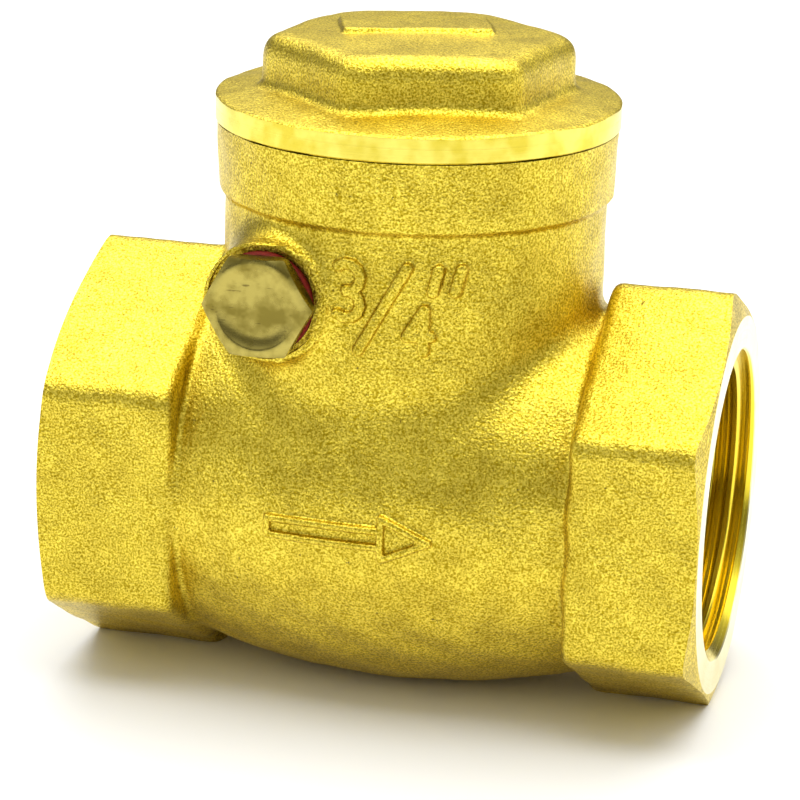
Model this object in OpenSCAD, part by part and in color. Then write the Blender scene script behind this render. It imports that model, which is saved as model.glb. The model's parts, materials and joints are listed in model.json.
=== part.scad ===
// Swing check valve, 3/4 inch, with a screwed bonnet cap and a side hinge plug.
// Millimetres. X runs along the pipe in the direction of flow, Z up through the bonnet.
// The origin is the centre of the ground foot under the belly, and the side plug faces -Y.

/* [Pipe] */
// Height of the pipe axis above the foot
pipe_z = 17.4; // [17.2:0.1:17.6]
// Distance from the bonnet axis to each end face
end_x = 28; // [27:0.5:30]
// Radius of the socket bore, at the crests of its G 3/4 thread
socket_r = 12.06; // [11.9:0.01:12.2]
// Radius at the mouth of each socket
mouth_r = 13.35; // [13:0.05:13.8]
// Depth at which the inlet socket ends, from the bonnet axis
inlet_stop = 16; // [15:0.5:17]
// Radius of the port that the flap closes
port_r = 8.5; // [7.5:0.1:9]

/* [Body casting] */
// Width of the end hexagons across their flats
end_flats = 32.4; // [31.5:0.1:34]
// Radius that the hexagon corners are rounded to
end_corner_r = 18.37; // [17.8:0.01:18.7]
// Radius that the end chamfer leaves on the end face
end_face_r = 16; // [15:0.1:16.1]
// Inner end of the inlet hexagon, from the bonnet axis
inlet_hex_x = 16.5; // [15:0.1:18]
// Inner end of the outlet hexagon, from the bonnet axis
outlet_hex_x = 17.6; // [16:0.1:19]
// Radius of the belly under the bonnet
belly_r = 17.85; // [17.6:0.05:18.2]
// Radius of the arc that the belly's outline follows along the pipe
belly_arc_r = 58; // [45:1:80]
// Radius of the flow chamber
chamber_r = 14.6; // [14:0.1:14.8]

/* [Bonnet] */
// Radius of the neck
neck_r = 16; // [15.8:0.1:16.4]
// Height of the neck above the pipe axis
neck_h = 30.7; // [30:0.1:31.5]
// Radius of the thickened collar at its top
collar_r = 16.75; // [16.5:0.05:17]
// Height of the collar's lower edge above the pipe axis
collar_z = 24.3; // [23.5:0.1:25]
// Radius of the bonnet bore
bonnet_r = 13.3; // [13.1:0.1:13.4]
// Radius of the recess that holds the cap gasket
recess_r = 15.7; // [15.6:0.05:15.8]

/* [Cap] */
// Radius of the cap flange
flange_r = 16.9; // [16.5:0.1:17.5]
// Thickness of the flange's machined rim
rim_h = 2.16; // [1.8:0.02:2.6]
// Width of the cap hexagon across its flats
cap_flats = 23.3; // [22.5:0.1:24]
// Radius that the cap hexagon's corners are rounded to
cap_corner_r = 13; // [12.6:0.05:13.3]
// Angle that the cap hexagon stands at when screwed home
cap_angle = 19.5; // [0:0.5:60]
// Height of the cap's top above the pipe axis
cap_top = 38.4; // [37:0.1:40]

/* [Hinge] */
// Distance of the hinge axis before the bonnet axis
hinge_x = 8.4; // [8:0.1:8.8]
// Height of the hinge axis above the pipe axis
hinge_h = 18.3; // [18:0.1:18.8]
// Radius of the hinge pin
pin_r = 1.75; // [1.5:0.05:1.9]
// Radius of the boss that the side plug screws into
boss_r = 5; // [4.9:0.1:5.5]
// Width of the side plug's hexagon across its flats
plug_flats = 8.05; // [7.8:0.05:8.4]
// Radius of the fibre washer under the side plug
plug_washer_r = 4.45; // [4.3:0.05:4.6]

/* [Flap] */
// Radius of the disc holder
disc_r = 10.5; // [10:0.1:10.6]
// Radius of the rubber disc
seal_r = 9.8; // [9.6:0.05:9.9]
// Radius of the stud that carries the disc
stud_r = 2.3; // [2.1:0.05:2.4]
// Width of the swing arm's hub along the hinge pin
hub_w = 10; // [9:0.2:10]

/* [Hidden] */
$fn = 96;

brass_cast = [0.78, 0.66, 0.22];
brass_bright = [0.92, 0.82, 0.32];
brass_dull = [0.52, 0.46, 0.26];
steel = [0.72, 0.72, 0.70];
rubber_black = [0.08, 0.08, 0.08];
fibre_red = [0.68, 0.10, 0.12];

over = 1;                 // how far a cutter runs past the face it cuts
run_gap = 0.02;           // radial clearance of the hinge pin in the casting
hub_gap = 0.06;           // radial clearance of the hub on the pin
thread_gap = 0.1;         // radial clearance between a plain shank and its threaded hole
seat_gap = 0.05;          // clearance between faces that meet when screwed home
mark_h = 0.4;             // height of the cast marks above the skin
mark_w = 0.8;             // stroke width of the cast marks

mouth_chamfer = mouth_r - socket_r;
end_chamfer = 0.7;        // length of the cone that bevels each end hexagon
port_x = inlet_stop - 2;  // start of the straight port, before the bonnet axis
seat_x = 10;              // seat plane, before the bonnet axis
seat_ring_r = 9.5;
seat_ring_h = 0.8;
seat_wall_r = 12.2;       // outer radius of the wall that carries the seat, inside the bonnet bore
chamber_end_x = 9;        // end of the full chamber, after the bonnet axis
outlet_stop = 14.5;       // end of the outlet socket, after the bonnet axis

collar_taper = 1.2;
collar_foot_r = 16.5;
recess_depth = 1;
gasket_r = 15.55;
gasket_bore_r = 14.25;

boss_face = 15.4;         // distance of the boss face from the bonnet axis
spot_r = boss_r + 0.2;    // radius of the spot face that the fibre washer seats on
plug_bore_r = 2.7;        // M6 hole
plug_bore_end = 11.4;
pin_hole_end = 12.25;     // blind end of the pin hole in the far wall
pin_near = 11.3;
pin_far = 12.2;
pin_chamfer = 0.3;
lug_r = 3;
lug_x = 5.1;              // half the gap between the lugs that the hub turns in

cap_under = neck_h + 0.1;
rim_top = cap_under + rim_h;
cap_base = rim_top + 0.7;
cap_base_r = cap_corner_r + 0.4;
cap_skirt_z = 23.7;
cap_hollow_r = 10.5;
cap_hollow_z = 32;
cap_hollow_top_r = 8.5;
cap_hollow_top = 35;
cap_bevel = 1.1;
pad_size = [12.5, 6.3];
pad_shift = [-0.3, 1.5];
pad_turn = 1;             // angle of the pad to the hexagon
pad_h = 0.35;

plug_head_h = 1.6;
plug_face = boss_face + 2.6;
plug_washer_h = 0.9;
plug_washer_bore_r = 3.1;
plug_dish_r = 3.3;
plug_dish_h = 0.3;

hub_r = 3.2;
hub_rim = 0.4;            // how far the hub stands past the arm on each side
arm_w = 6.4;              // width of the arm where it meets the eye
arm_front = [-5.3, 17.6]; // front corner of the arm at the hub
arm_rear = [-10.2, 15.6]; // rear corner of the arm at the hub
arm_elbow = [9.5, 11.4];  // heights where the arm's front and back lean over
eye_r = 4.4;
eye_bore_r = stud_r + 0.1;
eye_back = 5.7;           // distances before the bonnet axis
eye_front = 3.4;
disc_back = 6.2;
disc_front = 9.2;
seal_front = seat_x - seat_gap;
seal_back = 7.75;
shoulder_r = 4;
stud_end = 0.8;
washer_h = 0.5;
nut_h = 1.6;
nut_flats = 6.2;
retainer_r = 4.5;
retainer_h = 1;
screw_r = 1.45;
screw_head_r = 2.6;
screw_head_h = 1.25;
screw_end = 5.2;
slot_w = 0.6;
slot_h = 0.6;

function hex_r(flats) = flats / 2 / cos(30);

// A shape drawn along Z about its own axis, laid along the pipe
module on_pipe() {
    translate([0, 0, pipe_z]) rotate([0, 90, 0]) children();
}

// A shape drawn along Z, laid on the hinge axis so that its Z points to the plug side
module on_hinge() {
    translate([-hinge_x, 0, pipe_z + hinge_h]) rotate([90, 0, 0]) children();
}

// A plain rod along the pipe from x0 to x1
module pipe_rod(r, x0, x1) {
    on_pipe() translate([0, 0, x0]) cylinder(r = r, h = x1 - x0);
}

// A ring with a round section of rectangular outline
module ring(outer, inner, h) {
    difference() {
        cylinder(r = outer, h = h);
        translate([0, 0, -over]) cylinder(r = inner, h = h + 2 * over);
    }
}

// The belly between the two hexagons, grown by a skin
module belly(skin) {
    half = outlet_hex_x + 1;
    on_pipe() rotate_extrude() intersection() {
        translate([belly_r + skin - belly_arc_r, 0]) circle(r = belly_arc_r, $fn = 192);
        translate([0, -half]) square([belly_r + skin + over, 2 * half]);
    }
}

// One end hexagon, corner up, with rounded corners and a bevelled end
module end_hex(from_x, to_x, bevel_dir) {
    mid = (from_x + to_x) / 2;
    length = to_x - from_x;
    cone_r = end_face_r + (end_corner_r - end_face_r) * length / end_chamfer;
    intersection() {
        on_pipe() translate([0, 0, from_x]) cylinder(r = hex_r(end_flats), h = length, $fn = 6);
        pipe_rod(end_corner_r, from_x, to_x);
        translate([mid, 0, pipe_z]) rotate([0, 90 * bevel_dir, 0]) translate([0, 0, -length / 2])
            cylinder(r1 = cone_r, r2 = end_face_r, h = length);
    }
}

// The neck and its thicker collar
module neck() {
    translate([0, 0, pipe_z]) rotate_extrude() polygon([
        [0, 0], [neck_r, 0], [neck_r, collar_z], [collar_foot_r, collar_z + collar_taper],
        [collar_r, neck_h], [0, neck_h]
    ]);
}

// The flow arrow, flat in the XZ plane
module arrow_outline() {
    tail_x = -7.7;
    neck_x = 2.6;
    tip_x = 7.2;
    shaft_h = 1.1;
    head_h = 1.7;
    difference() {
        polygon([
            [tail_x, -shaft_h], [neck_x, -shaft_h], [neck_x, -head_h], [tip_x, 0],
            [neck_x, head_h], [neck_x, shaft_h], [tail_x, shaft_h]
        ]);
        translate([tail_x + mark_w / 2, -shaft_h + mark_w / 2])
            square([neck_x - tail_x - mark_w / 2, 2 * shaft_h - mark_w]);
    }
}

// A straight stroke between two points of a mark
module stroke(a, b) {
    run = b - a;
    translate(a) rotate(atan2(run[1], run[0])) translate([0, -mark_w / 2]) square([norm(run), mark_w]);
}

// The pipe size, 3/4 inch, flat in the XZ plane
module size_outline() {
    bowl_x = -1.2;
    bowl_r = 1.2;
    bowl_z = [19, 21.1];
    three_left = -2.5;
    bar_ends = [[-0.3, 15.2], [3.6, 22.2]];
    four_top = [4.7, 19.4];
    four_left = [3.1, 16.6];
    four_right = 5.6;
    inch_z = [20, 22.2];
    for (z = bowl_z) translate([bowl_x, z]) intersection() {
        difference() {
            circle(r = bowl_r + mark_w / 4);
            circle(r = bowl_r - mark_w * 3 / 4);
        }
        translate([-bowl_r / 3, -2 * bowl_r]) square([3 * bowl_r, 4 * bowl_r]);
    }
    for (z = [bowl_z[0] - bowl_r + mark_w / 4, bowl_z[1] + bowl_r - mark_w / 4])
        stroke([three_left, z], [bowl_x, z]);
    stroke(bar_ends[0], bar_ends[1]);
    stroke([four_top[0], bar_ends[0][1]], four_top);
    stroke(four_top, four_left);
    stroke(four_left, [four_right, four_left[1]]);
    for (x = [5.4, 7.1]) stroke([x, inch_z[0]], [x + mark_w * 2 / 3, inch_z[1]]);
}

// A flat outline raised on the plug side, from the bonnet axis out
module raise_mark() {
    translate([0, 0, pipe_z]) rotate([90, 0, 0]) linear_extrude(height = belly_r + over) children();
}

// The bore, chambers and mouths of the whole flow passage
module flow_passage() {
    mouth_x = end_x + over;
    on_pipe() rotate_extrude() polygon([
        [0, -mouth_x], [mouth_r, -mouth_x], [mouth_r, -end_x], [socket_r, -end_x + mouth_chamfer],
        [socket_r, -inlet_stop], [port_r, -port_x], [port_r, -seat_x], [seat_ring_r, -seat_x],
        [seat_ring_r, -seat_x - seat_ring_h], [chamber_r, -seat_x - seat_ring_h],
        [chamber_r, chamber_end_x], [socket_r, outlet_stop], [socket_r, end_x - mouth_chamfer],
        [mouth_r, end_x], [mouth_r, mouth_x], [0, mouth_x]
    ]);
}

module body() color(brass_cast) difference() {
    union() {
        difference() {
            union() {
                belly(0);
                end_hex(-end_x, -inlet_hex_x, -1);
                end_hex(outlet_hex_x, end_x, 1);
                neck();
                on_hinge() cylinder(r = boss_r, h = boss_face);
                intersection() {
                    belly(mark_h);
                    raise_mark() arrow_outline();
                }
                intersection() {
                    translate([0, 0, pipe_z]) cylinder(r = neck_r + mark_h, h = collar_z);
                    raise_mark() size_outline();
                }
            }
            translate([0, 0, pipe_z]) cylinder(r = bonnet_r, h = neck_h + over);
            translate([0, 0, pipe_z + neck_h - recess_depth]) cylinder(r = recess_r, h = recess_depth + over);
        }
        for (side = [-1, 1]) intersection() {
            translate([0, 0, pipe_z]) cylinder(r = bonnet_r + over, h = neck_h);
            translate([0, -side * (lug_x + bonnet_r) / 2, 0]) on_hinge()
                cylinder(r = lug_r, h = bonnet_r - lug_x, center = true);
        }
        pipe_rod(seat_wall_r, -port_x, -seat_x);
    }
    flow_passage();
    on_hinge() translate([0, 0, -pin_hole_end]) cylinder(r = pin_r + run_gap, h = pin_hole_end + boss_face);
    on_hinge() translate([0, 0, plug_bore_end]) cylinder(r = plug_bore_r, h = boss_face);
    on_hinge() translate([0, 0, boss_face]) cylinder(r = spot_r, h = over);
    translate([-end_x - over, -belly_r, -2 * over]) cube([2 * (end_x + over), 2 * belly_r, 2 * over]);
}

module cap() color(brass_bright) translate([0, 0, pipe_z]) difference() {
    union() {
        rotate_extrude() polygon([
            [0, cap_under], [flange_r, cap_under], [flange_r, rim_top],
            [cap_base_r, cap_base], [0, cap_base]
        ]);
        translate([0, 0, cap_skirt_z]) cylinder(r = bonnet_r - thread_gap, h = neck_h - cap_skirt_z + over / 2);
        rotate(cap_angle) difference() {
            intersection() {
                translate([0, 0, cap_under]) cylinder(r = hex_r(cap_flats), h = cap_top - cap_under, $fn = 6);
                translate([0, 0, cap_under]) cylinder(r = cap_corner_r, h = cap_top - cap_under);
            }
            for (flat = [0 : 60 : 300]) rotate(flat + 30) translate([cap_flats / 2, 0, cap_top])
                rotate([0, 45, 0]) cube([cap_bevel * sqrt(2), cap_flats, cap_bevel * sqrt(2)], center = true);
        }
        rotate(cap_angle + pad_turn) translate([pad_shift[0], pad_shift[1], cap_top + pad_h / 2 - over / 2])
            cube([pad_size[0], pad_size[1], pad_h + over], center = true);
    }
    rotate_extrude() polygon([
        [0, cap_skirt_z - over], [cap_hollow_r, cap_skirt_z - over], [cap_hollow_r, cap_hollow_z],
        [cap_hollow_top_r, cap_hollow_top], [0, cap_hollow_top]
    ]);
}

module cap_gasket() color(fibre_red) translate([0, 0, pipe_z + neck_h - recess_depth + seat_gap])
    ring(gasket_r, gasket_bore_r, recess_depth);

module hinge_plug() color(brass_dull) on_hinge() difference() {
    union() {
        translate([0, 0, plug_face - plug_head_h]) cylinder(r = hex_r(plug_flats), h = plug_head_h, $fn = 6);
        translate([0, 0, plug_bore_end + thread_gap])
            cylinder(r = plug_bore_r - thread_gap, h = plug_face - plug_bore_end - plug_head_h);
    }
    translate([0, 0, plug_face - plug_dish_h]) cylinder(r1 = plug_dish_r - plug_dish_h, r2 = plug_dish_r, h = plug_dish_h);
}

module plug_washer() color(fibre_red) on_hinge() translate([0, 0, boss_face + seat_gap])
    ring(plug_washer_r, plug_washer_bore_r, plug_washer_h);

module hinge_pin() color(steel) on_hinge() rotate_extrude() polygon([
    [0, -pin_far], [pin_r - pin_chamfer, -pin_far], [pin_r, -pin_far + pin_chamfer],
    [pin_r, pin_near - pin_chamfer], [pin_r - pin_chamfer, pin_near], [0, pin_near]
]);

// The arm's outline seen along the hinge, from the eye up to the hub
module arm_side() {
    polygon([
        [-eye_back, 0], [-eye_front, 0], [-eye_front, arm_elbow[0]], arm_front,
        [-hinge_x, hinge_h], arm_rear, [-eye_back, arm_elbow[1]]
    ]);
}

module swing_arm() color(brass_bright) difference() {
    half = hub_w / 2 - hub_rim;
    union() {
        on_hinge() cylinder(r = hub_r, h = hub_w, center = true);
        intersection() {
            translate([0, hub_w / 2, pipe_z]) rotate([90, 0, 0]) linear_extrude(height = hub_w) arm_side();
            translate([-2 * hinge_x, 0, pipe_z]) rotate([90, 0, 90]) linear_extrude(height = 2 * hinge_x) polygon([
                [-arm_w / 2, 0], [arm_w / 2, 0], [half, hinge_h - hub_r],
                [half, hinge_h], [-half, hinge_h], [-half, hinge_h - hub_r]
            ]);
        }
        pipe_rod(eye_r, -eye_back, -eye_front);
    }
    on_hinge() cylinder(r = pin_r + hub_gap, h = hub_w + over, center = true);
    pipe_rod(eye_bore_r, -eye_back - over, -eye_front + over);
}

module disc_holder() color(brass_bright) difference() {
    union() {
        pipe_rod(disc_r, -disc_front, -disc_back);
        pipe_rod(shoulder_r, -disc_back - over, -eye_back - seat_gap);
        pipe_rod(stud_r, -disc_back - over, -stud_end);
    }
    pipe_rod(seal_r + seat_gap, -disc_front - over, -seal_back);
    pipe_rod(screw_r + seat_gap, -seal_back - over, -screw_end + seat_gap);
}

module disc_seal() color(rubber_black) difference() {
    pipe_rod(seal_r, -seal_front, -seal_back);
    pipe_rod(screw_r + seat_gap, -seal_front - over, -seal_back + over);
}

module seal_retainer() color(brass_bright) difference() {
    pipe_rod(retainer_r, -seal_front - retainer_h, -seal_front);
    pipe_rod(screw_r + seat_gap, -seal_front - retainer_h - over, -seal_front + over);
}

module seal_screw() color(brass_dull) {
    head_x = -seal_front - retainer_h;
    difference() {
        union() {
            pipe_rod(screw_head_r, head_x - screw_head_h, head_x);
            pipe_rod(screw_r, head_x - over / 2, -screw_end);
        }
        translate([head_x - screw_head_h, 0, pipe_z])
            cube([2 * slot_h, slot_w, 2 * screw_head_r + over], center = true);
    }
}

module disc_washer() color(steel) translate([-eye_front + seat_gap, 0, 0])
    on_pipe() ring(shoulder_r, stud_r + seat_gap, washer_h);

module disc_nut() color(brass_dull) on_pipe() translate([0, 0, -eye_front + seat_gap + washer_h + seat_gap]) difference() {
    cylinder(r = hex_r(nut_flats), h = nut_h, $fn = 6);
    translate([0, 0, -over]) cylinder(r = stud_r + seat_gap, h = nut_h + 2 * over);
}

body();
cap();
cap_gasket();
hinge_plug();
plug_washer();
hinge_pin();
swing_arm();
disc_holder();
disc_seal();
seal_retainer();
seal_screw();
disc_washer();
disc_nut();
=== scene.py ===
"""Looks of the swing check valve: cast and machined brass, real threads, studio light and camera.

Shapes are worked out in millimetres about the point where the pipe axis meets the bonnet axis
(x along the flow, z up the bonnet), and set down in metres in the frame's own place.
"""
import json
import math

import bmesh
import bpy
import numpy as np
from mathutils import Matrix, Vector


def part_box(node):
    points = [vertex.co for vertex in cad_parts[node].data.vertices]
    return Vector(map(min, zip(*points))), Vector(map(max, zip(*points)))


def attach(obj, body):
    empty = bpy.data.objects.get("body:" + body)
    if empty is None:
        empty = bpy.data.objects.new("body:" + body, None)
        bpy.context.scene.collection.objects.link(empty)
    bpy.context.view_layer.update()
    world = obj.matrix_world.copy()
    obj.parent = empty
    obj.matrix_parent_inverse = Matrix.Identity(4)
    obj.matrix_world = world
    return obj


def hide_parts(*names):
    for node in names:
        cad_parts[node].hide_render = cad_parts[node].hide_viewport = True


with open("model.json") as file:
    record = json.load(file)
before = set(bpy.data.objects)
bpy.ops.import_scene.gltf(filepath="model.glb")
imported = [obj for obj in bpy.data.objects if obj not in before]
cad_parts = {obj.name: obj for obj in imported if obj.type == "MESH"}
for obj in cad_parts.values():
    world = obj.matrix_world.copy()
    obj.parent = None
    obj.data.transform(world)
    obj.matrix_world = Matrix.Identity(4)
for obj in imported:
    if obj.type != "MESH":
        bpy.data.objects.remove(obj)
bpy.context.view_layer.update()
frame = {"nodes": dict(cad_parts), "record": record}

import openvdb as vdb
from mathutils import Matrix, Vector

record = frame["record"]
mounts = {m["name"]: m for m in record["mounts"]}
joints = {j["name"]: j for j in record["behaviour"]["joints"]}

MM = 0.001
CAST, MACHINED = 0, 1

# ---------------------------------------------------------------- sizes, mm
PIPE_Z = mounts["outlet"]["pos_m"][2] / MM
SOCKET_R = mounts["outlet"]["dims"]["r_mm"]


def span(node, axis):
    """A CAD node's low and high limit along an axis, in mm, z counted from the pipe axis."""
    low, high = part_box(node)
    shift = PIPE_Z if axis == 2 else 0.0
    return low[axis] / MM - shift, high[axis] / MM - shift


END_X = span("body", 0)[1]
FOOT_Z, NECK_TOP = span("body", 2)
HINGE_X = joints["flap_swing"]["pos_m"][0] / MM
HINGE_Z = joints["flap_swing"]["pos_m"][2] / MM - PIPE_Z
FLANGE_R = span("cap", 0)[1]
CAP_SKIRT_Z, CAP_PAD_Z = span("cap", 2)
CAP_UNDER = NECK_TOP + 0.1
PLUG_FACE = span("hinge_plug", 1)[0]
PLUG_END = span("hinge_plug", 1)[1]
WASHER_Y = span("plug_washer", 1)
WASHER_R = (span("plug_washer", 0)[1] - span("plug_washer", 0)[0]) / 2

HEX_FLAT = 16.2
HEX_ROUND = 1.165
HEX_INNER = (-16.1, 17.1)
BELLY_R, BELLY_ARC = 17.85, 58.0
NECK_R, COLLAR_Z, COLLAR_RISE = 16.0, 24.6, 0.6
COLLAR_FOOT_R, COLLAR_R = 16.5, 16.75
BOSS_R, BOSS_FACE = 5.0, -15.4
END_FACE_R, END_BEVEL = 16.0, 0.3
MOUTH_R = 13.35
PIPE_PITCH, PIPE_DEPTH = 25.4 / 14, 1.162
INLET_STOP, OUTLET_STOP = -16.0, 14.5
PORT_R, SEAT_X, SEAT_RING_R, SEAT_RING_H, SEAT_WALL_R = 8.5, -10.0, 9.5, 0.8, 12.2
CHAMBER_R, CHAMBER_END = 14.6, 9.0
BONNET_R, RECESS_R, RECESS_H = 13.3, 15.7, 1.0
CAP_PITCH, PLUG_PITCH = 1.5, 1.0
LUG_R, LUG_Y = 3.0, 5.1
PIN_HOLE_R, PIN_HOLE_END = 1.77, 12.25
CAP_FLAT, CAP_HEX_ROUND, CAP_ANGLE, CAP_TOP = 11.65, 1.57, 19.5, 38.4
RIM_TOP = CAP_UNDER + 2.16
PAD_HALF, PAD_CENTRE = (6.25, 3.15), (-0.3, 1.5)
PLUG_FLAT, PLUG_HEAD_H, DISH_R = 4.025, 1.6, 3.3
MARK_H, ARROW_W, FIGURE_W = 0.55, 0.3, 0.46
HEX_SHOULDER, END_FILLET, NECK_FILLET, BOSS_FILLET = 1.1, 0.7, 1.5, 2.0
SPARE = 0.8
BONNET_THREAD, SKIRT_THREAD = (13.22, 14.05), (13.0, 13.9)
PLUG_HOLE_THREAD, SHANK_THREAD, PLUG_BORE_R = (2.55, 3.05), (2.4, 2.93), 2.57
WASHER_BORE_R, WASHER_VISUAL_R = 3.1, WASHER_R - 0.2
CAP_HOLLOW_R, CAP_HOLLOW_TOP, SKIRT_R = 10.5, 35.0, 13.05
AT_HINGE = (HINGE_X, 0, HINGE_Z)

# ---------------------------------------------------------------- distance fields


def smooth_min(a, b, k):
    h = np.clip(0.5 + 0.5 * (b - a) / k, 0.0, 1.0)
    return b + (a - b) * h - k * h * (1.0 - h)


def smooth_max(a, b, k):
    return -smooth_min(-a, -b, k)


def hexagon(u, v, flat, k):
    """Distance outside a hexagon whose flats face +-u, with rounded corners."""
    d = np.abs(u)
    for angle in (60, 120):
        a = math.radians(angle)
        d = smooth_max(d, np.abs(u * math.cos(a) + v * math.sin(a)), k)
    return d - flat


def segment(u, v, a, b):
    """Distance from a straight stroke's centre line."""
    run = (b[0] - a[0], b[1] - a[1])
    t = ((u - a[0]) * run[0] + (v - a[1]) * run[1]) / (run[0] ** 2 + run[1] ** 2)
    t = np.clip(t, 0.0, 1.0)
    return np.hypot(u - a[0] - t * run[0], v - a[1] - t * run[1])


def arc(centre, radius, start, end, steps):
    """Points along a circular arc, angles in degrees."""
    turns = [math.radians(start + (end - start) * i / steps) for i in range(steps + 1)]
    return [(centre[0] + radius * math.cos(t), centre[1] + radius * math.sin(t)) for t in turns]


def strokes_of(path):
    return list(zip(path[:-1], path[1:]))


def unevenness(x, y, z):
    """The slow waviness of a sand-cast skin."""
    a = np.sin(0.83 * x + 0.37 * z + 1.1) * np.sin(0.71 * y - 0.52 * z + 0.4)
    b = np.sin(0.43 * x - 0.91 * y + 2.3) * np.sin(0.97 * z + 0.29 * x)
    c = np.sin(1.73 * x + 1.21 * z) * np.sin(1.57 * y + 0.83 * x + 1.9)
    return 0.045 * a + 0.04 * b + 0.02 * c


def arrow_distance(x, z):
    """The flow arrow, its shaft and head both raised outlines."""
    tail, neck, tip, shaft, head = -7.3, 2.4, 6.3, 0.72, 1.75
    outline = [(neck, shaft), (tail, shaft), (tail, -shaft), (neck, -shaft)]
    point = [(neck, -head), (tip, 0.0), (neck, head), (neck, -head)]
    d = np.full_like(x, 9.0)
    for a, b in strokes_of(outline) + strokes_of(point):
        d = np.minimum(d, segment(x, z, a, b))
    return d - ARROW_W


def size_distance(x, z):
    """The pipe size mark, three quarters of an inch."""
    upper = arc((-1.35, 21.15), 1.15, 130, -90, 7)
    lower = arc((-1.35, 18.95), 1.15, 90, -130, 7)
    paths = [
        upper, lower, [(-0.3, 15.2), (3.5, 22.2)], [(4.9, 15.4), (4.9, 18.8), (3.6, 16.6), (5.4, 16.6)],
        [(5.5, 20.3), (5.9, 22.1)], [(7.2, 20.3), (7.6, 22.1)],
    ]
    d = np.full_like(x, 9.0)
    for path in paths:
        for a, b in strokes_of(path):
            d = np.minimum(d, segment(x, z, a, b))
    return d - FIGURE_W


def collar_radius(z):
    rise = np.clip((z - COLLAR_Z) / COLLAR_RISE, 0.0, 1.0)
    rise = rise * rise * (3 - 2 * rise)
    above = np.clip((z - COLLAR_Z - COLLAR_RISE) / (NECK_TOP - COLLAR_Z - COLLAR_RISE), 0.0, 1.0)
    return NECK_R + (COLLAR_FOOT_R - NECK_R) * rise + (COLLAR_R - COLLAR_FOOT_R) * above


def body_field(x, y, z):
    """The raw casting before machining: belly, hexagon ends, neck, boss and raised marks."""
    ring = np.hypot(y, z)
    belly = np.hypot(x, ring + BELLY_ARC - BELLY_R) - BELLY_ARC
    flats = hexagon(y, z, HEX_FLAT, HEX_ROUND)
    inlet = smooth_max(flats, x - HEX_INNER[0], HEX_SHOULDER)
    outlet = smooth_max(flats, HEX_INNER[1] - x, HEX_SHOULDER)
    ends = np.maximum(np.minimum(inlet, outlet), np.abs(x) - END_X - SPARE)
    neck = np.maximum(np.maximum(np.hypot(x, y) - collar_radius(z), z - NECK_TOP - SPARE), -z)
    boss = np.hypot(x - HINGE_X, z - HINGE_Z) - BOSS_R
    boss = np.maximum(np.maximum(boss, BOSS_FACE - 0.5 - y), y)
    skin = smooth_min(belly, ends, END_FILLET)
    skin = smooth_min(skin, neck, NECK_FILLET)
    skin = smooth_min(skin, boss, BOSS_FILLET)
    skin = skin + unevenness(x, y, z)
    near = (y < 0) & (np.abs(skin) < 3.0)
    if near.any():
        xn, zn, sn = x[near], z[near], skin[near]
        mark = np.minimum(arrow_distance(xn, zn), size_distance(xn, zn))
        skin[near] = smooth_min(sn, smooth_max(mark, sn - MARK_H, 0.3), 0.25)
    return skin


def cap_field(x, y, z):
    """The raw cap casting: flange, hexagon and the blank pad on its top."""
    rho = np.hypot(x, y)
    turn = math.radians(CAP_ANGLE)
    u = x * math.cos(turn) + y * math.sin(turn)
    v = y * math.cos(turn) - x * math.sin(turn)
    flats = hexagon(v, u, CAP_FLAT, CAP_HEX_ROUND)
    crown = z - CAP_TOP + 0.4 * (rho / 12.0) ** 2
    head = smooth_max(flats, crown, 1.9)
    slope = z - RIM_TOP - (FLANGE_R - rho) * 0.16
    flange = smooth_max(rho - FLANGE_R - 0.15, slope, 0.5)
    skin = smooth_min(np.maximum(head, CAP_UNDER - z), flange, 0.9)
    pad_turn = math.radians(1.0)
    pu = np.abs((u - PAD_CENTRE[0]) * math.cos(pad_turn)) - PAD_HALF[0]
    pv = np.abs((v - PAD_CENTRE[1]) * math.cos(pad_turn)) - PAD_HALF[1]
    pad = smooth_max(smooth_max(pu, pv, 0.6), z - CAP_PAD_Z, 0.3)
    skin = smooth_min(skin, np.maximum(pad, CAP_TOP - 3 - z), 0.35)
    skin = skin + 0.7 * unevenness(x + 20, y, z)
    return np.maximum(skin, CAP_UNDER - 0.5 - z)


# ---------------------------------------------------------------- meshes from fields


def gradient(field, p, step=0.03):
    """The field's slope at points p."""
    slopes = []
    for i in range(3):
        ahead, behind = p.copy(), p.copy()
        ahead[:, i] += step
        behind[:, i] -= step
        slopes.append((field(*ahead.T) - field(*behind.T)) / (2 * step))
    return np.stack(slopes, axis=1)


def settle(field, p, rounds=3):
    """Moves points onto the field's zero surface."""
    for _ in range(rounds):
        g = gradient(field, p)
        size = np.maximum((g * g).sum(axis=1), 0.05)
        p = p - g * np.clip(field(*p.T) / size, -0.3, 0.3)[:, None]
    return p


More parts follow.
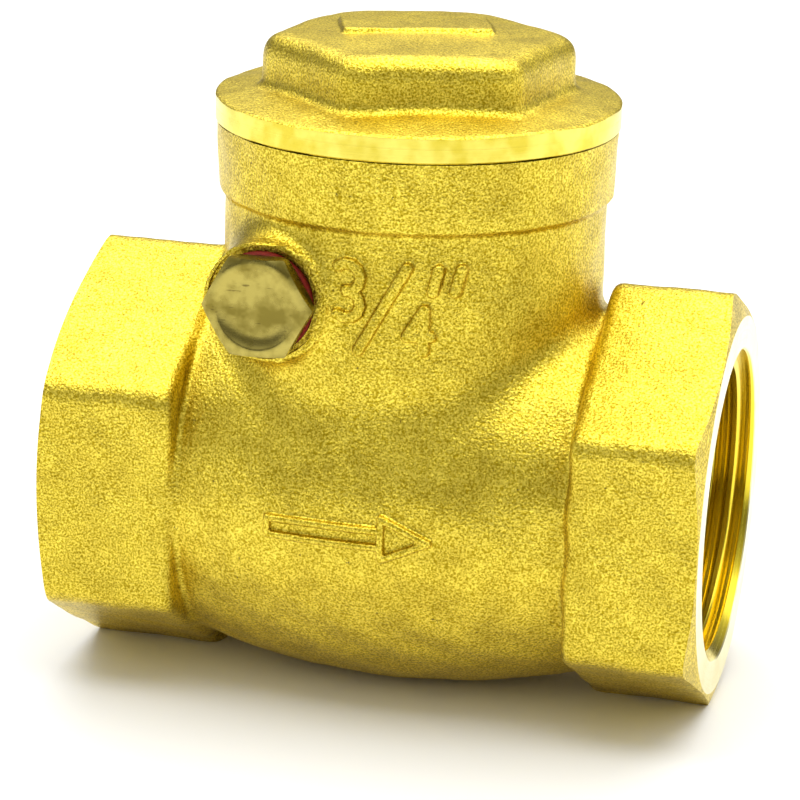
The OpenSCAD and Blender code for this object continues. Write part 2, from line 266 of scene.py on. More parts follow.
def field_object(name, field, low, high, voxel, refine=()):
    """A closed mesh of the field's zero surface, finer inside the refine boxes."""
    axes = [np.arange(low[i], high[i] + voxel, voxel) for i in range(3)]
    x, y, z = np.meshgrid(*axes, indexing="ij")
    grid = vdb.FloatGrid(1.0)
    grid.copyFromArray(field(x, y, z).astype(np.float32))
    points, quads = grid.convertToQuads(isovalue=0.0)
    points = settle(field, np.asarray(low) + points.astype(float) * voxel)
    obj = mesh_object(name, points, quads.tolist())
    if refine:
        bm = bmesh.new()
        bm.from_mesh(obj.data)
        for box_low, box_high in refine:
            faces = [f for f in bm.faces if in_box(f.calc_center_median(), box_low, box_high)]
            edges = list({e for f in faces for e in f.edges})
            bmesh.ops.subdivide_edges(bm, edges=edges, cuts=3, use_grid_fill=True)
        bm.to_mesh(obj.data)
        bm.free()
        write_points(obj.data, settle(field, read_points(obj.data)))
    bm = bmesh.new()
    bm.from_mesh(obj.data)
    bmesh.ops.triangulate(bm, faces=bm.faces)
    if bm.calc_volume(signed=True) < 0:
        bmesh.ops.reverse_faces(bm, faces=bm.faces)
    bm.to_mesh(obj.data)
    bm.free()
    return obj


def in_box(p, low, high):
    return all(low[i] <= p[i] <= high[i] for i in range(3))


def read_points(mesh):
    flat = np.empty(len(mesh.vertices) * 3)
    mesh.vertices.foreach_get("co", flat)
    return flat.reshape(-1, 3)


def write_points(mesh, points):
    mesh.vertices.foreach_set("co", points.ravel())
    mesh.update()


def mesh_object(name, points, faces, material=CAST):
    """A new object from points and faces, with one material index."""
    mesh = bpy.data.meshes.new(name)
    mesh.from_pydata([tuple(p) for p in points], [], faces)
    for _ in range(2):
        mesh.materials.append(None)
    mesh.polygons.foreach_set("material_index", [material] * len(mesh.polygons))
    mesh.validate()
    obj = bpy.data.objects.new(name, mesh)
    bpy.context.scene.collection.objects.link(obj)
    return obj


def outward(obj):
    bm = bmesh.new()
    bm.from_mesh(obj.data)
    bmesh.ops.recalc_face_normals(bm, faces=bm.faces)
    if bm.calc_volume(signed=True) < 0:
        bmesh.ops.reverse_faces(bm, faces=bm.faces)
    bmesh.ops.triangulate(bm, faces=bm.faces)
    bm.to_mesh(obj.data)
    bm.free()
    return obj


# ---------------------------------------------------------------- turned shapes and threads
TO_PIPE = np.array([[0, 0, 1], [1, 0, 0], [0, 1, 0]], float)
TO_BONNET = np.eye(3)
TO_PLUG = np.array([[1, 0, 0], [0, 0, -1], [0, 1, 0]], float)


def placed(points, way, origin):
    """Points drawn along their own z, turned to a direction and moved to an origin."""
    return np.asarray(points, float) @ np.asarray(way).T + np.asarray(origin, float)


def revolve(name, profile, way=TO_BONNET, origin=(0, 0, 0), steps=128, material=MACHINED):
    """A closed solid turned from a profile of (radius, height) points."""
    points, faces, rows = [], [], []
    for radius, height in profile:
        if radius < 1e-6:
            rows.append([len(points)] * steps)
            points.append((0.0, 0.0, height))
            continue
        start = len(points)
        rows.append([start + i for i in range(steps)])
        for i in range(steps):
            t = 2 * math.pi * i / steps
            points.append((radius * math.cos(t), radius * math.sin(t), height))
    closed = profile[0][0] > 1e-6
    pairs = list(zip(rows[:-1], rows[1:])) + ([(rows[-1], rows[0])] if closed else [])
    for a, b in pairs:
        for i in range(steps):
            j = (i + 1) % steps
            loop = [a[i], a[j], b[j], b[i]]
            loop = [v for k, v in enumerate(loop) if v != loop[k - 1]]
            if len(loop) > 2:
                faces.append(loop)
    return outward(mesh_object(name, placed(points, way, origin), faces, material))


def thread_form(u):
    """Height of a rounded V thread, 0 to 1, at u pitches from a crest."""
    return np.clip(0.5 + 0.68 * np.cos(2 * math.pi * u), 0.0, 1.0)


def thread(name, root_r, crest_r, pitch, z0, z1, fade=(0.0, 0.0), way=TO_BONNET, origin=(0, 0, 0), steps=96):
    """A right-handed threaded rod from z0 to z1, whose ridge fades out over fade at each end."""
    per_turn = 12
    rows = int(round((z1 - z0) / pitch * per_turn))
    points, faces = [], []
    for i in range(steps):
        lead = pitch * i / steps
        for k in range(rows + 1):
            z = z0 + lead + pitch * k / per_turn
            ramp = min(1.0, (z - z0 - pitch) / fade[0]) if fade[0] else 1.0
            ramp = min(ramp, (z1 - z) / fade[1]) if fade[1] else ramp
            height = float(thread_form((z - lead) / pitch)) * max(0.0, min(1.0, ramp))
            t = 2 * math.pi * i / steps
            r = root_r + (crest_r - root_r) * height
            points.append((r * math.cos(t), r * math.sin(t), z))
    column = rows + 1
    for i in range(steps):
        j, hop = ((i + 1) * column, 0) if i + 1 < steps else (0, per_turn)
        for k in range(rows - hop):
            a, b = i * column + k, j + k + hop
            faces.append([a, b, b + 1, a + 1])
    last = steps - 1
    low = [i * column for i in range(steps)] + [k for k in range(per_turn, 0, -1)]
    high = [i * column + rows for i in range(steps)]
    high += [last * column + rows - k for k in range(1, per_turn + 1)]
    for loop, z in ((low, z0 + pitch / 2), (high, z1 + pitch / 2)):
        hub = len(points)
        points.append((0.0, 0.0, z))
        faces += [[loop[k], loop[(k + 1) % len(loop)], hub] for k in range(len(loop))]
    return outward(mesh_object(name, placed(points, way, origin), faces, MACHINED))


def prism(name, flat, z0, z1, angle, way=TO_BONNET, origin=(0, 0, 0)):
    """A hexagonal bar."""
    r = flat / math.cos(math.radians(30))
    turns = [math.radians(angle + 60 * i) for i in range(6)]
    points = [(r * math.cos(t), r * math.sin(t), z) for z in (z0, z1) for t in turns]
    faces = [list(range(6)), list(range(6, 12))]
    faces += [[i, (i + 1) % 6, 6 + (i + 1) % 6, 6 + i] for i in range(6)]
    return outward(mesh_object(name, placed(points, way, origin), faces, MACHINED))


def slab(name, low, high, material=MACHINED):
    """A plain box used as a cutter."""
    xs, ys, zs = zip(low, high)
    points = [(x, y, z) for x in xs for y in ys for z in zs]
    faces = [[0, 1, 3, 2], [4, 6, 7, 5], [0, 4, 5, 1], [2, 3, 7, 6], [0, 2, 6, 4], [1, 5, 7, 3]]
    return outward(mesh_object(name, points, faces, material))


def combine(target, tool, operation):
    """Applies one solid to another and removes the tool."""
    mod = target.modifiers.new("solid", "BOOLEAN")
    mod.operation = operation
    mod.solver = "MANIFOLD"
    mod.material_mode = "INDEX"
    mod.object = tool
    bpy.context.view_layer.update()
    depsgraph = bpy.context.evaluated_depsgraph_get()
    result = bpy.data.meshes.new_from_object(target.evaluated_get(depsgraph))
    target.modifiers.clear()
    if len(result.polygons) == 0:
        raise RuntimeError("nothing left of " + target.name + " after " + tool.name)
    old = target.data
    target.data = result
    bpy.data.meshes.remove(old)
    bpy.data.meshes.remove(tool.data)
    return target


def cut(target, *tools):
    for tool in tools:
        combine(target, tool, "DIFFERENCE")
    return target


def add(target, *tools):
    for tool in tools:
        combine(target, tool, "UNION")
    return target


def keep(target, tool):
    return combine(target, tool, "INTERSECT")


def finish_piece(obj, materials, crease=28.0, field=None):
    """Sets a finished piece down in metres, with crisp edges and its materials."""
    mesh = obj.data
    while len(mesh.materials) < len(materials):
        mesh.materials.append(None)
    for i, material in enumerate(materials):
        mesh.materials[i] = material
    bm = bmesh.new()
    bm.from_mesh(mesh)
    bmesh.ops.remove_doubles(bm, verts=bm.verts, dist=1e-4)
    bmesh.ops.dissolve_degenerate(bm, edges=bm.edges, dist=1e-4)
    limit = math.radians(crease)
    for face in bm.faces:
        face.smooth = True
    for edge in bm.edges:
        faces = edge.link_faces
        joins = len(faces) == 2 and faces[0].material_index != faces[1].material_index
        edge.smooth = not joins and edge.calc_face_angle(0.0) < limit
    bm.to_mesh(mesh)
    bm.free()
    if field:
        set_field_normals(mesh, field)
    write_points(mesh, (read_points(mesh) + (0, 0, PIPE_Z)) * MM)
    return obj


def set_field_normals(mesh, field):
    """Gives every cast face the true normals of its field, so that it shades evenly."""
    points = read_points(mesh)
    on_skin = np.abs(field(*points.T)) < 0.02
    slopes = gradient(field, points)
    slopes /= np.maximum(np.linalg.norm(slopes, axis=1), 1e-9)[:, None]
    count = len(mesh.loops)
    verts = np.empty(count, int)
    mesh.loops.foreach_get("vertex_index", verts)
    normals = np.empty(count * 3)
    mesh.corner_normals.foreach_get("vector", normals)
    normals = normals.reshape(-1, 3)
    faces = len(mesh.polygons)
    totals, indices = np.empty(faces, int), np.empty(faces, int)
    mesh.polygons.foreach_get("loop_total", totals)
    mesh.polygons.foreach_get("material_index", indices)
    cast = np.repeat(indices == CAST, totals) & on_skin[verts]
    cast &= (normals * slopes[verts]).sum(axis=1) > 0.6
    normals[cast] = slopes[verts][cast]
    mesh.normals_split_custom_set(normals.tolist())


# ---------------------------------------------------------------- the pieces


def chamber_tools():
    """The cast hollow: flow chamber and bonnet bore, less the hinge lugs and the seat wall."""
    wall_x, corner = SEAT_X - SEAT_RING_H, 0.6
    hollow = revolve("chamber", [
        (0, wall_x), (CHAMBER_R - corner, wall_x), (CHAMBER_R, wall_x + corner),
        (CHAMBER_R, CHAMBER_END), (SOCKET_R + 0.02, OUTLET_STOP), (0, OUTLET_STOP),
    ], TO_PIPE, material=CAST)
    top = NECK_TOP + 2
    bonnet = [(0, 0.0), (BONNET_R, 0.0), (BONNET_R, top), (0, top)]
    add(hollow, revolve("bonnet", bonnet, material=CAST))
    deep, bevel = 20, 0.3
    lug = [(0, LUG_Y), (LUG_R - bevel, LUG_Y), (LUG_R, LUG_Y + bevel), (LUG_R, deep), (0, deep)]
    for side in (-1, 1):
        cut(hollow, outward(revolve("lug", lug, TO_PLUG * side, AT_HINGE, 48, CAST)))
    bevel = 0.4
    wall = revolve("wall", [
        (0, -deep), (SEAT_WALL_R, -deep), (SEAT_WALL_R, wall_x - bevel), (SEAT_WALL_R - bevel, wall_x),
        (SEAT_RING_R, wall_x), (SEAT_RING_R, SEAT_X), (0, SEAT_X),
    ], TO_PIPE, material=CAST)
    return [cut(hollow, wall)]


def socket_tools():
    """Both threaded sockets with their mouth chamfers, the port between them, and the faced ends."""
    mouth = MOUTH_R - SOCKET_R
    plain = SOCKET_R + 0.03
    edge = 0.25
    port_end, mouth_start, past = SEAT_X + 0.5, OUTLET_STOP - 0.5, END_X + 1
    tools = [
        revolve("port", [
            (0, -past), (MOUTH_R, -past), (MOUTH_R, -END_X), (plain, -END_X + mouth), (plain, INLET_STOP),
            (PORT_R, INLET_STOP + 2), (PORT_R, SEAT_X - edge), (PORT_R + edge, SEAT_X),
            (PORT_R + edge, port_end), (0, port_end),
        ], TO_PIPE),
        revolve("mouth", [
            (0, mouth_start), (plain, mouth_start), (plain, END_X - mouth),
            (MOUTH_R, END_X), (MOUTH_R, past), (0, past),
        ], TO_PIPE),
    ]
    crest, run_out = SOCKET_R + PIPE_DEPTH, 1.6
    end, clear_r = END_X + 0.6, 20
    reach = [(0, -end), (clear_r, -end), (clear_r, end), (0, end)]
    for name, z0, z1, fade in (
        ("inlet_thread", -END_X - 4.0, INLET_STOP - 1.2, (0.0, run_out)),
        ("outlet_thread", OUTLET_STOP + 0.6, END_X + 4.0, (run_out, 0.0)),
    ):
        tool = thread(name, SOCKET_R, crest, PIPE_PITCH, z0, z1, fade, TO_PIPE)
        tools.append(keep(tool, revolve("reach", reach, TO_PIPE)))
    inner, outer = END_FACE_R - 1, END_FACE_R + 5
    flat = [(0, END_X), (outer, END_X), (outer, END_X + 4), (0, END_X + 4)]
    cone = [
        (inner, END_X + END_BEVEL), (outer, END_X - 5 * END_BEVEL), (outer, END_X + 3), (inner, END_X + 3),
    ]
    for side in (-1, 1):
        tools.append(outward(revolve("facing", flat, TO_PIPE * side)))
        tools.append(outward(revolve("bevel", cone, TO_PIPE * side, material=CAST)))
    return tools


def bonnet_tools():
    """The faced collar, the gasket recess and the cap's thread."""
    outer, above = COLLAR_R + 2, NECK_TOP + 4
    floor, clear = NECK_TOP - RECESS_H, NECK_TOP + 1
    start, end = CAP_SKIRT_Z - 1.6, NECK_TOP + 1.4
    return [
        revolve("top", [(0, NECK_TOP), (outer, NECK_TOP), (outer, above), (0, above)]),
        revolve("recess", [(0, floor), (RECESS_R, floor), (RECESS_R, clear), (0, clear)]),
        thread("bonnet_thread", *BONNET_THREAD, CAP_PITCH, start, end, (1.5, 0.0)),
    ]


def hinge_tools():
    """The plug's tapped hole, its faced boss and the hinge pin's hole."""
    face = -BOSS_FACE
    spot = [(0, face), (WASHER_R + 0.2, face), (WASHER_R + 0.4, face + 2), (0, face + 2)]
    pin = [(0, -PIN_HOLE_END), (PIN_HOLE_R, -PIN_HOLE_END), (PIN_HOLE_R, 12), (0, 12)]
    bottom, wide = 11.4, 3.1
    tapped = [
        (0, bottom), (PLUG_BORE_R, bottom), (PLUG_BORE_R, face - 0.4),
        (wide, face + 0.1), (wide, face + 1), (0, face + 1),
    ]
    ridge = (PLUG_PITCH, bottom + 0.5, face + 0.4, (0.8, 0.0))
    return [
        revolve("boss_face", spot, TO_PLUG, AT_HINGE, 64, CAST),
        revolve("pin_hole", pin, TO_PLUG, AT_HINGE, 48),
        revolve("plug_hole", tapped, TO_PLUG, AT_HINGE, 48),
        thread("plug_hole_thread", *PLUG_HOLE_THREAD, *ridge, TO_PLUG, AT_HINGE, 48),
    ]


def make_body():
    """The casting, its finer boxes holding the arrow and the size mark."""
    arrow, size_mark = ((-9, -20, -3), (8.6, -10, 3)), ((-3.6, -20, 14.2), (8.8, -10, 23.2))
    low, high = (-30, -19.5, -19.5), (30, 19.5, NECK_TOP + 2)
    body = field_object("valve_body", body_field, low, high, 0.42, (arrow, size_mark))
    cut(body, *chamber_tools(), *socket_tools(), *bonnet_tools(), *hinge_tools())
    return cut(body, slab("ground", (-40, -30, FOOT_Z - 5), (40, 30, FOOT_Z)))


def make_cap():
    """The cap casting with its turned rim, threaded skirt and hollow."""
    reach = 18.5
    low, high = (-reach, -reach, CAP_UNDER - 1.5), (reach, reach, CAP_PAD_Z + 1)
    cap = field_object("bonnet_cap", cap_field, low, high, 0.3)
    edge, above = 0.12, CAP_UNDER + 9
    keep(cap, revolve("rim", [
        (0, CAP_UNDER), (FLANGE_R - edge, CAP_UNDER), (FLANGE_R, CAP_UNDER + edge),
        (FLANGE_R, above), (0, above),
    ], steps=160))
    skirt = thread("skirt", *SKIRT_THREAD, CAP_PITCH, CAP_SKIRT_Z - 3.0, NECK_TOP + 2.9, steps=120)
    outer, rooted = 14.0, CAP_UNDER + 0.5
    keep(skirt, revolve("skirt_turn", [
        (0, CAP_SKIRT_Z), (SKIRT_R, CAP_SKIRT_Z), (outer, CAP_SKIRT_Z + 0.95), (outer, NECK_TOP - 1.4),
        (SKIRT_R, NECK_TOP - 0.9), (SKIRT_R, rooted), (0, rooted),
    ]))
    add(cap, skirt)
    mouth_r, below = CAP_HOLLOW_R + 0.3, CAP_SKIRT_Z - 1
    return cut(cap, revolve("cap_hollow", [
        (0, below), (mouth_r, below), (mouth_r, CAP_SKIRT_Z), (CAP_HOLLOW_R, CAP_SKIRT_Z + 0.3),
        (CAP_HOLLOW_R, CAP_HOLLOW_TOP - 3), (CAP_HOLLOW_R - 0.6, CAP_HOLLOW_TOP - 2),
        (CAP_HOLLOW_R - 2, CAP_HOLLOW_TOP - 0.6), (CAP_HOLLOW_R - 3.5, CAP_HOLLOW_TOP), (0, CAP_HOLLOW_TOP),
    ], material=CAST))


def make_plug():
    """The hinge plug: a dished hexagon head on a threaded shank."""
    face, under = -PLUG_FACE, -PLUG_FACE - PLUG_HEAD_H
    corner = PLUG_FLAT / math.cos(math.radians(30))
    plug = prism("side_plug", PLUG_FLAT, under, face + 1, 1.3, TO_PLUG, AT_HINGE)
    keep(plug, revolve("head_turn", [
        (0, under), (corner - 0.45, under), (corner - 0.1, under + 0.2), (corner - 0.03, under + 0.4),
        (corner - 0.03, face - 0.42), (PLUG_FLAT + 0.12, face - 0.1), (PLUG_FLAT - 0.25, face - 0.02),
        (DISH_R + 0.12, face - 0.01), (DISH_R, face - 0.06), (DISH_R - 0.25, face - 0.2),
        (2.2, face - 0.27), (1.0, face - 0.31), (0, face - 0.32),
    ], TO_PLUG, AT_HINGE, 96))
    start, end = -PLUG_END - 2.0, under + 1.0
    shank = thread("shank", *SHANK_THREAD, PLUG_PITCH, start, end, (0.0, 0.0), TO_PLUG, AT_HINGE, 48)
    tip_r, outer, neck_r, rooted = 2.3, 3.0, 2.45, under + 0.3
    keep(shank, revolve("shank_turn", [
        (0, -PLUG_END), (tip_r, -PLUG_END), (outer, -PLUG_END + 0.7), (outer, under - 0.9),
        (neck_r, under - 0.5), (neck_r, rooted), (0, rooted),
    ], TO_PLUG, AT_HINGE, 64))
    return add(plug, shank)


def make_washer():
    near, far = -WASHER_Y[1], -WASHER_Y[0]
    r, bore, edge = WASHER_VISUAL_R, WASHER_BORE_R, 0.1
    return revolve("fibre_washer", [
        (bore, near + edge), (bore + edge, near), (r - 0.25, near), (r - 0.05, near + 0.15), (r, near + 0.4),
        (r - 0.04, far - 0.2), (r - 0.2, far), (bore + edge, far), (bore, far - edge),
    ], TO_PLUG, AT_HINGE, 96)


# ---------------------------------------------------------------- materials


class Nodes:
    """Short names for the node tree of one material."""

    def __init__(self, name):
        self.material = bpy.data.materials.new(name)
        self.material.use_nodes = True
        self.tree = self.material.node_tree
        self.tree.nodes.clear()
        self.out = self.new("ShaderNodeOutputMaterial")
        self.shader = self.new("ShaderNodeBsdfPrincipled")
        self.link(self.shader.outputs["BSDF"], self.out.inputs["Surface"])
        self.place = self.new("ShaderNodeTexCoord").outputs["Object"]

    def new(self, kind, **settings):
        node = self.tree.nodes.new(kind)
        for key, value in settings.items():
            setattr(node, key, value)
        return node

    def link(self, a, b):
        self.tree.links.new(a, b)

    def put(self, socket, value):
        if isinstance(value, bpy.types.NodeSocket):
            self.link(value, socket)
        else:
            socket.default_value = value

    def math(self, operation, a, b=0.0, clamp=False):
        node = self.new("ShaderNodeMath", operation=operation, use_clamp=clamp)
        self.put(node.inputs[0], a)
        self.put(node.inputs[1], b)
        return node.outputs[0]

    def noise(self, size_mm, detail=2.0, rough=0.5, vector=None, stretch=None):
        """Noise whose cells are about size_mm across."""
        if stretch:
            mapping = self.new("ShaderNodeMapping")
            mapping.inputs["Scale"].default_value = stretch
            self.link(vector or self.place, mapping.inputs["Vector"])
            vector = mapping.outputs["Vector"]
        node = self.new("ShaderNodeTexNoise")
        self.link(vector or self.place, node.inputs["Vector"])
        node.inputs["Scale"].default_value = 1.0 / (size_mm * MM)
        node.inputs["Detail"].default_value = detail
        node.inputs["Roughness"].default_value = rough
        return node.outputs["Fac"]

    def cells(self, size_mm, feature="F1", randomness=1.0):
        node = self.new("ShaderNodeTexVoronoi", feature=feature)
        self.link(self.place, node.inputs["Vector"])
        node.inputs["Scale"].default_value = 1.0 / (size_mm * MM)
        node.inputs["Randomness"].default_value = randomness
        return node.outputs["Distance"]

    def ramp(self, value, *stops):
        node = self.new("ShaderNodeValToRGB")
        ramp = node.color_ramp
        while len(ramp.elements) < len(stops):
            ramp.elements.new(0.5)
        for element, (position, colour) in zip(ramp.elements, stops):
            element.position = position
            level = colour if isinstance(colour, tuple) else (colour,) * 3
            element.color = (*level, 1.0)
        self.put(node.inputs["Fac"], value)
        return node.outputs["Color"]

    def mix(self, factor, a, b, blend="MIX"):
        node = self.new("ShaderNodeMix", data_type="RGBA", blend_type=blend)
        self.put(node.inputs["Factor"], factor)
        for socket, value in ((node.inputs[6], a), (node.inputs[7], b)):
            self.put(socket, (*value, 1.0) if isinstance(value, tuple) else value)
        return node.outputs[2]

    def bump(self, height, strength, depth_mm, under=None):
        node = self.new("ShaderNodeBump")
        node.inputs["Strength"].default_value = strength
        node.inputs["Distance"].default_value = depth_mm * MM
        self.put(node.inputs["Height"], height)
        if under:
            self.link(under, node.inputs["Normal"])
        return node.outputs["Normal"]

    def finish(self, colour, roughness, normal=None, metallic=1.0):
        self.put(self.shader.inputs["Base Color"], (*colour, 1.0) if isinstance(colour, tuple) else colour)
        self.put(self.shader.inputs["Roughness"], roughness)
        self.shader.inputs["Metallic"].default_value = metallic
        if normal:
            self.link(normal, self.shader.inputs["Normal"])
        return self.material


def cast_brass(name, light, dark, grain_mm=0.18):
    """Shot-blasted cast brass: fine sparkling grain over a dimpled skin, with scattered dark pits."""
    n = Nodes(name)
    grain = n.noise(grain_mm, 2.0, 0.65)
    dimples = n.cells(grain_mm * 1.5)
    coarse = n.noise(3.0, 3.0, 0.6)
    pits = n.noise(0.9, 4.0, 0.8)
    middle = tuple(0.5 * (a + b) for a, b in zip(dark, light))
    shade = n.ramp(grain, (0.39, dark), (0.5, middle), (0.61, light))
    patch = n.ramp(coarse, (0.3, (0.78, 0.76, 0.70)), (0.6, (1.0, 1.0, 1.0)))
    shade = n.mix(1.0, shade, patch, "MULTIPLY")
    pit_mask = n.ramp(pits, (0.29, 1.0), (0.34, 0.0))
    shade = n.mix(pit_mask, shade, (0.08, 0.06, 0.02))
    height = n.math("ADD", grain, n.math("MULTIPLY", dimples, 0.6))
    normal = n.bump(height, 0.8, 0.075)
    normal = n.bump(coarse, 0.25, 0.22, normal)
    rough = n.ramp(grain, (0.3, 0.42), (0.7, 0.30))
    return n.finish(shade, rough, normal)


def turned_brass(name, light, dark, centre, along, bore=None):
    """Machined brass with fine turning marks round an axis, and painted shade, a darker deeper yellow,
    inside the bore radius.
    """
    n = Nodes(name)
    shift = n.new("ShaderNodeMapping")
    shift.inputs["Location"].default_value = [-c for c in centre]
    n.link(n.place, shift.inputs["Vector"])
    split = n.new("ShaderNodeSeparateXYZ")
    n.link(shift.outputs["Vector"], split.inputs["Vector"])
    across = [split.outputs[i] for i in range(3) if i != along]
    squares = [n.math("POWER", s, 2.0) for s in across]
    radius = n.math("SQRT", n.math("ADD", *squares))
    ring = n.new("ShaderNodeCombineXYZ")
    n.link(radius, ring.inputs[0])
    n.link(split.outputs[along], ring.inputs[1])
    lines = n.noise(0.16, 2.0, 0.6, ring.outputs[0])
    broad = n.noise(1.4, 2.0, 0.5, ring.outputs[0])
    blotch = n.noise(3.5, 3.0, 0.6)
    shade = n.mix(n.ramp(blotch, (0.42, 0.0), (0.62, 1.0)), light, dark)
    # painted shade: faces inside the bore radius take the darker bore colour, standing in for the shade
    # inside the socket
    if bore:
        inside = n.math("LESS_THAN", radius, bore[0] * MM)
        shade = n.mix(inside, shade, bore[1])
    normal = n.bump(lines, 0.5, 0.02)
    normal = n.bump(broad, 0.25, 0.05, normal)
    rough = n.ramp(lines, (0.3, 0.17), (0.7, 0.28))
    return n.finish(shade, rough, normal)


def tarnished_brass(name, light, dark):
    """Old plain brass with a dull film and a few fine scratches."""
    n = Nodes(name)
    film = n.noise(2.6, 3.0, 0.6)
    streaks = n.noise(0.35, 3.0, 0.6, stretch=(0.25, 1.0, 1.0))
    shade = n.mix(n.ramp(film, (0.4, 0.0), (0.62, 1.0)), light, dark)
    shade = n.mix(n.ramp(streaks, (0.28, 0.7), (0.36, 0.0)), shade, (0.10, 0.07, 0.02))
    normal = n.bump(streaks, 0.35, 0.02)
    rough = n.ramp(film, (0.3, 0.2), (0.7, 0.34))
    return n.finish(shade, rough, normal)


def soft_material(name, light, dark, roughness, grain_mm, depth_mm):
    """A non-metal such as rubber or pressed fibre."""
    n = Nodes(name)
    grain = n.noise(grain_mm, 3.0, 0.6)
    shade = n.mix(n.ramp(grain, (0.3, 0.0), (0.7, 1.0)), light, dark)
    normal = n.bump(grain, 0.5, depth_mm)
    n.shader.inputs["Specular IOR Level"].default_value = 0.25
    return n.finish(shade, roughness, normal, 0.0)


def ground_steel(name):
    n = Nodes(name)
    lines = n.noise(0.12, 2.0, 0.6, stretch=(1.0, 0.2, 1.0))
    shade = n.mix(n.ramp(lines, (0.3, 0.0), (0.7, 1.0)), (0.62, 0.62, 0.60), (0.42, 0.42, 0.41))
    return n.finish(shade, n.ramp(lines, (0.3, 0.2), (0.7, 0.34)), n.bump(lines, 0.4, 0.01))


# ---------------------------------------------------------------- light, floor and camera
VIEW_TARGET = (-0.607, -1.212, 6.555)
VIEW_YAW, VIEW_PITCH, VIEW_ROLL = 14.59, 17.421, 1.571
VIEW_DISTANCE, VIEW_LENS = 257.217, 135.448
SKY_STRENGTH, TOP_POWER = 1.0, 6.8
SKY_LEVELS = ((0.08, 0.06), (0.4, 0.5), (0.9, 1.0))


def point_at(obj, target):
    aim = Vector(target) - obj.location
    obj.rotation_euler = aim.to_track_quat("-Z", "Y").to_euler()


def make_camera():
    yaw, pitch, roll = (math.radians(a) for a in (VIEW_YAW, VIEW_PITCH, VIEW_ROLL))
    back = Vector((math.sin(yaw) * math.cos(pitch), -math.cos(yaw) * math.cos(pitch), math.sin(pitch)))
    right = Vector((math.cos(yaw), math.sin(yaw), 0.0))
    up = back.cross(right)
    side = right * math.cos(roll) + up * math.sin(roll)
    top = up * math.cos(roll) - right * math.sin(roll)
    data = bpy.data.cameras.new("camera")
    data.sensor_width = 36.0
    data.lens = VIEW_LENS
    data.clip_start = 0.01
    camera = bpy.data.objects.new("camera", data)
    place = (Vector(VIEW_TARGET) + Vector((0, 0, PIPE_Z)) + back * VIEW_DISTANCE) * MM
    matrix = Matrix((side, top, back)).transposed().to_4x4()
    matrix.translation = place
    camera.matrix_world = matrix
    bpy.context.scene.collection.objects.link(camera)
    bpy.context.scene.camera = camera


def area_light(name, place, target, size, power, colour=(1, 1, 1)):
    data = bpy.data.lights.new(name, "AREA")
    data.shape = "RECTANGLE"
    data.size, data.size_y = size
    data.energy = power
    data.color = colour
    light = bpy.data.objects.new(name, data)
    light.location = place
    point_at(light, target)
    bpy.context.scene.collection.objects.link(light)


def make_sky():
    """A soft white ceiling that fades to a dim horizon."""
    world = bpy.data.worlds.new("studio")
    world.use_nodes = True
    nodes, links = world.node_tree.nodes, world.node_tree.links
    place = nodes.new("ShaderNodeTexCoord")
    split = nodes.new("ShaderNodeSeparateXYZ")
    ramp = nodes.new("ShaderNodeValToRGB")
    while len(ramp.color_ramp.elements) < len(SKY_LEVELS):
        ramp.color_ramp.elements.new(0.5)
    for element, (height, level) in zip(ramp.color_ramp.elements, SKY_LEVELS):
        element.position, element.color = height, (level, level, level, 1.0)
    links.new(place.outputs["Generated"], split.inputs["Vector"])
    links.new(split.outputs["Z"], ramp.inputs["Fac"])
    links.new(ramp.outputs["Color"], nodes["Background"].inputs["Color"])
    nodes["Background"].inputs["Strength"].default_value = SKY_STRENGTH
    bpy.context.scene.world = world


def make_studio():
    centre = (0, 0, 0.025)
    area_light("top", (0.0, 0.12, 0.65), centre, (1.0, 1.0), TOP_POWER)
    area_light("left", (-0.6, -0.3, 0.08), centre, (0.5, 0.2), 0.25)
    area_light("right", (0.6, 0.3, 0.2), centre, (0.3, 0.5), 0.7)
    make_sky()
    bpy.context.scene.view_settings.view_transform = "Standard"
    half = 3.0
    corners = [(-half, -half, 0), (half, -half, 0), (half, half, 0), (-half, half, 0)]
    floor = mesh_object("floor", corners, [[0, 1, 2, 3]])
    n = Nodes("floor_white")
    tone = n.noise(200.0, 2.0)
    floor.data.materials[0] = n.finish(n.mix(tone, (0.90, 0.90, 0.89), (0.92, 0.92, 0.91)), 0.6, None, 0.0)


# ---------------------------------------------------------------- assembly
LIGHT_BRASS, DARK_BRASS = (1.0, 0.80, 0.10), (0.46, 0.33, 0.010)
pipe_centre = (0.0, 0.0, PIPE_Z * MM)
# painted shade: a darker deeper yellow for the threads and port inside the pipe bore
bore_painted_shade = (MOUTH_R - 0.1, (0.84, 0.66, 0.045))

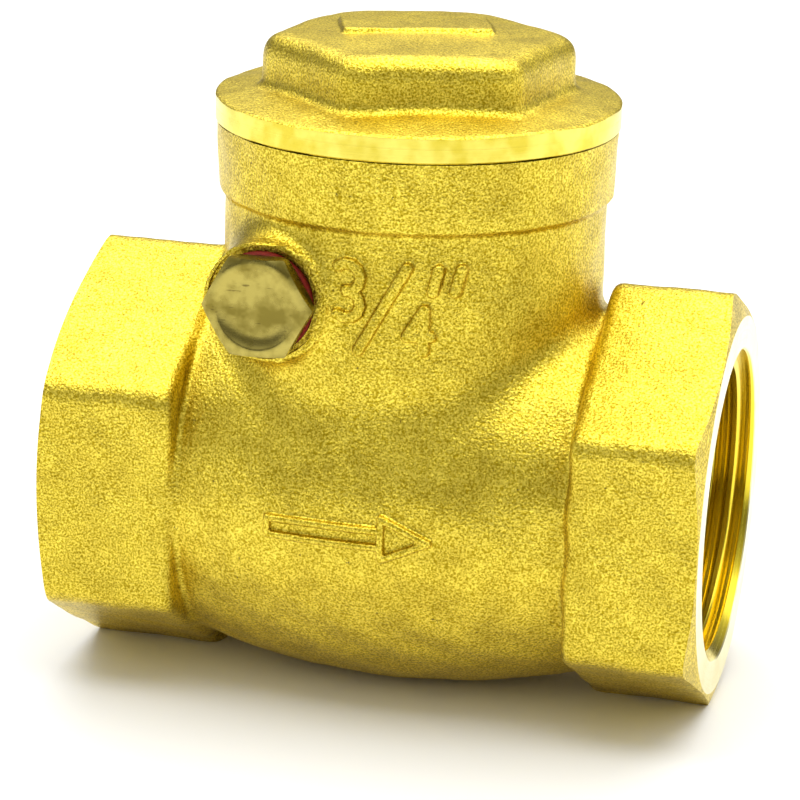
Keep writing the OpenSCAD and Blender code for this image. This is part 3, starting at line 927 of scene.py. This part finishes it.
materials = {
    "cast": cast_brass("cast_brass", LIGHT_BRASS, DARK_BRASS),
    "cap_cast": cast_brass("cast_brass_cap", LIGHT_BRASS, DARK_BRASS, 0.17),
    "socket": turned_brass(
        "turned_brass_socket", (0.97, 0.90, 0.50), (0.92, 0.82, 0.36), pipe_centre, 0, bore_painted_shade),
    "rim": turned_brass("turned_brass_rim", (0.92, 0.80, 0.15), (0.74, 0.60, 0.06), (0.0, 0.0, 0.0), 2),
    "plug": tarnished_brass("tarnished_brass", (0.45, 0.37, 0.09), (0.24, 0.19, 0.035)),
    "arm": cast_brass("cast_brass_arm", (0.80, 0.64, 0.22), (0.55, 0.42, 0.12), 0.3),
    "disc": turned_brass("turned_brass_disc", (0.80, 0.66, 0.26), (0.72, 0.56, 0.18), pipe_centre, 0),
    "fibre": soft_material("red_fibre", (0.26, 0.014, 0.004), (0.12, 0.006, 0.002), 0.7, 0.25, 0.03),
    "rubber": soft_material("black_rubber", (0.030, 0.030, 0.031), (0.016, 0.016, 0.017), 0.55, 0.3, 0.01),
    "gasket": soft_material("gasket_rubber", (0.05, 0.05, 0.05), (0.025, 0.025, 0.025), 0.6, 0.4, 0.02),
    "steel": ground_steel("ground_steel"),
}


def show(piece, cast, machined, node, body, field=None):
    """Gives a piece its two finishes and puts it in the place of its CAD node."""
    finish_piece(piece, [materials[cast], materials[machined]], field=field)
    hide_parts(node)
    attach(piece, body)


show(make_body(), "cast", "socket", "body", "valve", body_field)
show(make_cap(), "cap_cast", "rim", "cap", "bonnet_cap", cap_field)
show(make_plug(), "plug", "plug", "hinge_plug", "side_plug")
show(make_washer(), "fibre", "fibre", "plug_washer", "plug_seal")

kept_nodes = {
    "cap_gasket": "gasket", "hinge_pin": "steel", "swing_arm": "arm", "disc_holder": "disc",
    "disc_seal": "rubber", "seal_retainer": "disc", "seal_screw": "plug", "disc_washer": "steel",
    "disc_nut": "plug",
}
for node, finish in kept_nodes.items():
    obj = frame["nodes"][node]
    obj.data.materials.clear()
    obj.data.materials.append(materials[finish])

make_camera()
make_studio()
